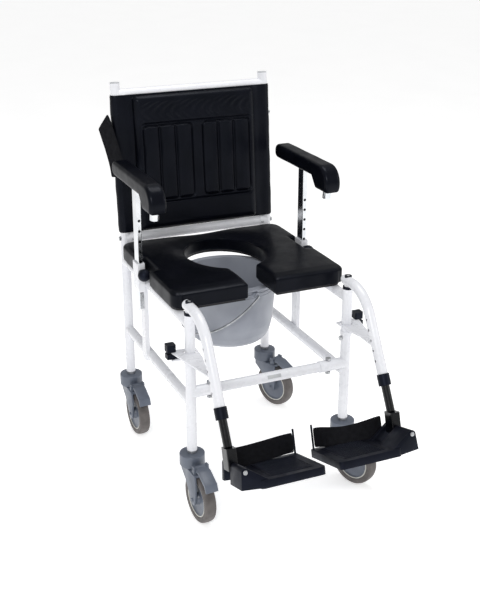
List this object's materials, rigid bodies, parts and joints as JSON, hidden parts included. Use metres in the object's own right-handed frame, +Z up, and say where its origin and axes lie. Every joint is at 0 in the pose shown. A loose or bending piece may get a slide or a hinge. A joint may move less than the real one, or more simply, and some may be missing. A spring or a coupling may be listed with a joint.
{
  "type": "commode chair",
  "caption": "Wheeled commode chair: white tube frame, padded back, horseshoe seat over a pail, height-adjustable arms, swing-away footrests and braked castors.",
  "frame": {"origin": "on the floor, on the chair's mid-plane, under the middle of its length", "axes": "+Z up, the chair faces -Y, +X to the right of someone who looks at its front"},
  "size_m": [0.5275, 0.8753, 0.9779],
  "materials": {
    "white_paint": "gloss powder coat",
    "chrome": "polished",
    "vinyl": "fine grained vinyl",
    "moulded_foam": "integral-skin foam",
    "black_plastic": "moulded",
    "castor_plastic": "moulded",
    "tyre_rubber": "satin",
    "bucket_plastic": "satin",
    "webbing": "woven",
    "zinc": "zinc plated",
    "black_steel": "gloss black",
    "grey_plastic": "moulded",
    "board": "painted board"
  },
  "bodies": {
    "frame": {"castor_stems": "zinc", "front_leg_left": "white_paint", "front_leg_right": "white_paint", "rear_post_left": "white_paint", "rear_post_right": "white_paint", "upper_side_rails": "white_paint", "lower_side_rails": "white_paint", "front_crossbar": "white_paint", "crossbar_sleeves": "white_paint", "frame_bolts": "zinc", "seat_crossbars": "white_paint", "back_lower_rail": "white_paint", "back_top_rail": "white_paint", "post_caps": "grey_plastic", "arm_sockets": "white_paint", "arm_struts": "white_paint", "leg_bushes": "black_plastic", "latch_keepers": "white_paint", "backrest_cover": "vinyl", "backrest_pad": "vinyl", "seat_pad": "moulded_foam", "seat_base": "board", "pan_runners": "white_paint", "lap_strap": "webbing"},
    "bucket": {"bucket": "bucket_plastic"},
    "bail": {"bucket_bail": "zinc"},
    "castor_front_left": {"castor_fork_front_left": "castor_plastic"},
    "wheel_front_left": {"castor_tyre_front_left": "tyre_rubber", "castor_hub_front_left": "castor_plastic"},
    "pedal_front_left": {"castor_pedal_front_left": "castor_plastic"},
    "castor_front_right": {"castor_fork_front_right": "castor_plastic"},
    "wheel_front_right": {"castor_tyre_front_right": "tyre_rubber", "castor_hub_front_right": "castor_plastic"},
    "pedal_front_right": {"castor_pedal_front_right": "castor_plastic"},
    "castor_rear_left": {"castor_fork_rear_left": "castor_plastic"},
    "wheel_rear_left": {"castor_tyre_rear_left": "tyre_rubber", "castor_hub_rear_left": "castor_plastic"},
    "pedal_rear_left": {"castor_pedal_rear_left": "castor_plastic"},
    "castor_rear_right": {"castor_fork_rear_right": "castor_plastic"},
    "wheel_rear_right": {"castor_tyre_rear_right": "tyre_rubber", "castor_hub_rear_right": "castor_plastic"},
    "pedal_rear_right": {"castor_pedal_rear_right": "castor_plastic"},
    "arm_left": {"arm_post_left": "chrome", "arm_pad_left": "moulded_foam"},
    "knob_left": {"arm_knob_left": "black_plastic"},
    "hanger_left": {"hanger_left": "white_paint", "hanger_fittings_left": "black_plastic"},
    "latch_left": {"latch_lever_left": "black_plastic"},
    "stem_left": {"footrest_stem_left": "black_steel", "heel_strap_left": "webbing"},
    "footplate_left": {"footplate_left": "black_plastic"},
    "arm_right": {"arm_post_right": "chrome", "arm_pad_right": "moulded_foam"},
    "knob_right": {"arm_knob_right": "black_plastic"},
    "hanger_right": {"hanger_right": "white_paint", "hanger_fittings_right": "black_plastic"},
    "latch_right": {"latch_lever_right": "black_plastic"},
    "stem_right": {"footrest_stem_right": "black_steel", "heel_strap_right": "webbing"},
    "footplate_right": {"footplate_right": "black_plastic"}
  },
  "joints": [
    {"name": "castor_swivel_front_left", "type": "hinge", "parent": "frame", "child": "castor_front_left", "pos_m": [-0.208, -0.111, 0.15], "axis": [0, 0, 1], "continuous": true},
    {"name": "wheel_spin_front_left", "type": "hinge", "parent": "castor_front_left", "child": "wheel_front_left", "pos_m": [-0.20486, -0.15589, 0.0625], "axis": [0.9976, 0.0698, 0], "continuous": true},
    {"name": "brake_pedal_front_left", "type": "hinge", "parent": "castor_front_left", "child": "pedal_front_left", "pos_m": [-0.20479, -0.15689, 0.147], "axis": [0.9976, 0.0698, 0], "range_deg": [0, 8]},
    {"name": "castor_swivel_front_right", "type": "hinge", "parent": "frame", "child": "castor_front_right", "pos_m": [0.208, -0.111, 0.15], "axis": [0, 0, 1], "continuous": true},
    {"name": "wheel_spin_front_right", "type": "hinge", "parent": "castor_front_right", "child": "wheel_front_right", "pos_m": [0.22558, -0.15242, 0.0625], "axis": [0.9205, 0.3907, 0], "continuous": true},
    {"name": "brake_pedal_front_right", "type": "hinge", "parent": "castor_front_right", "child": "pedal_front_right", "pos_m": [0.22597, -0.15334, 0.147], "axis": [0.9205, 0.3907, 0], "range_deg": [0, 8]},
    {"name": "castor_swivel_rear_left", "type": "hinge", "parent": "frame", "child": "castor_rear_left", "pos_m": [-0.208, 0.367, 0.15], "axis": [0, 0, 1], "continuous": true},
    {"name": "wheel_spin_rear_left", "type": "hinge", "parent": "castor_rear_left", "child": "wheel_rear_left", "pos_m": [-0.20643, 0.32203, 0.0625], "axis": [0.9994, 0.0349, 0], "continuous": true},
    {"name": "brake_pedal_rear_left", "type": "hinge", "parent": "castor_rear_left", "child": "pedal_rear_left", "pos_m": [-0.20639, 0.32103, 0.147], "axis": [0.9994, 0.0349, 0], "range_deg": [0, 8]},
    {"name": "castor_swivel_rear_right", "type": "hinge", "parent": "frame", "child": "castor_rear_right", "pos_m": [0.208, 0.367, 0.15], "axis": [0, 0, 1], "continuous": true},
    {"name": "wheel_spin_rear_right", "type": "hinge", "parent": "castor_rear_right", "child": "wheel_rear_right", "pos_m": [0.22486, 0.32528, 0.0625], "axis": [0.9272, 0.3746, 0], "continuous": true},
    {"name": "brake_pedal_rear_right", "type": "hinge", "parent": "castor_rear_right", "child": "pedal_rear_right", "pos_m": [0.22523, 0.32435, 0.147], "axis": [0.9272, 0.3746, 0], "range_deg": [0, 8]},
    {"name": "bucket_slide", "type": "slide", "parent": "frame", "child": "bucket", "axis": [0, 1, 0], "range_m": [0, 0.36]},
    {"name": "bail_swing", "type": "hinge", "parent": "bucket", "child": "bail", "pos_m": [0, 0.148, 0.493], "axis": [-0.1564, 0.9877, 0], "range_deg": [0, 38]},
    {"name": "arm_height_left", "type": "slide", "parent": "frame", "child": "arm_left", "axis": [0, 0, 1], "range_m": [-0.081, 0.054]},
    {"name": "arm_knob_pull_left", "type": "slide", "parent": "frame", "child": "knob_left", "axis": [0, -1, 0], "range_m": [0, 0.008], "stiffness_N_per_m": 500, "springref_m": -0.004},
    {"name": "hanger_swing_left", "type": "hinge", "parent": "frame", "child": "hanger_left", "pos_m": [-0.208, -0.111, 0.53], "axis": [0, 0, -1], "range_deg": [0, 90]},
    {"name": "latch_turn_left", "type": "hinge", "parent": "hanger_left", "child": "latch_left", "pos_m": [-0.243, -0.094, 0.43], "axis": [0, 0, -1], "range_deg": [0, 15], "stiffness_Nm_per_rad": 0.5, "springref_deg": -5.73},
    {"name": "footrest_length_left", "type": "slide", "parent": "hanger_left", "child": "stem_left", "axis": [0, -0.5, -0.866], "range_m": [0, 0.075]},
    {"name": "footplate_flip_left", "type": "hinge", "parent": "stem_left", "child": "footplate_left", "pos_m": [-0.208, -0.352, 0.262], "axis": [0, -0.9563, 0.2924], "range_deg": [0, 90], "deforming": ["heel_strap_left"]},
    {"name": "arm_height_right", "type": "slide", "parent": "frame", "child": "arm_right", "axis": [0, 0, 1], "range_m": [-0.081, 0.054]},
    {"name": "arm_knob_pull_right", "type": "slide", "parent": "frame", "child": "knob_right", "axis": [0, -1, 0], "range_m": [0, 0.008], "stiffness_N_per_m": 500, "springref_m": -0.004},
    {"name": "hanger_swing_right", "type": "hinge", "parent": "frame", "child": "hanger_right", "pos_m": [0.208, -0.111, 0.53], "axis": [0, 0, 1], "range_deg": [0, 90]},
    {"name": "latch_turn_right", "type": "hinge", "parent": "hanger_right", "child": "latch_right", "pos_m": [0.243, -0.094, 0.43], "axis": [0, 0, 1], "range_deg": [0, 15], "stiffness_Nm_per_rad": 0.5, "springref_deg": -5.73},
    {"name": "footrest_length_right", "type": "slide", "parent": "hanger_right", "child": "stem_right", "axis": [0, -0.5, -0.866], "range_m": [0, 0.075]},
    {"name": "footplate_flip_right", "type": "hinge", "parent": "stem_right", "child": "footplate_right", "pos_m": [0.208, -0.352, 0.262], "axis": [0, 0.9563, -0.2924], "range_deg": [0, 90], "deforming": ["heel_strap_right"]}
  ]
}
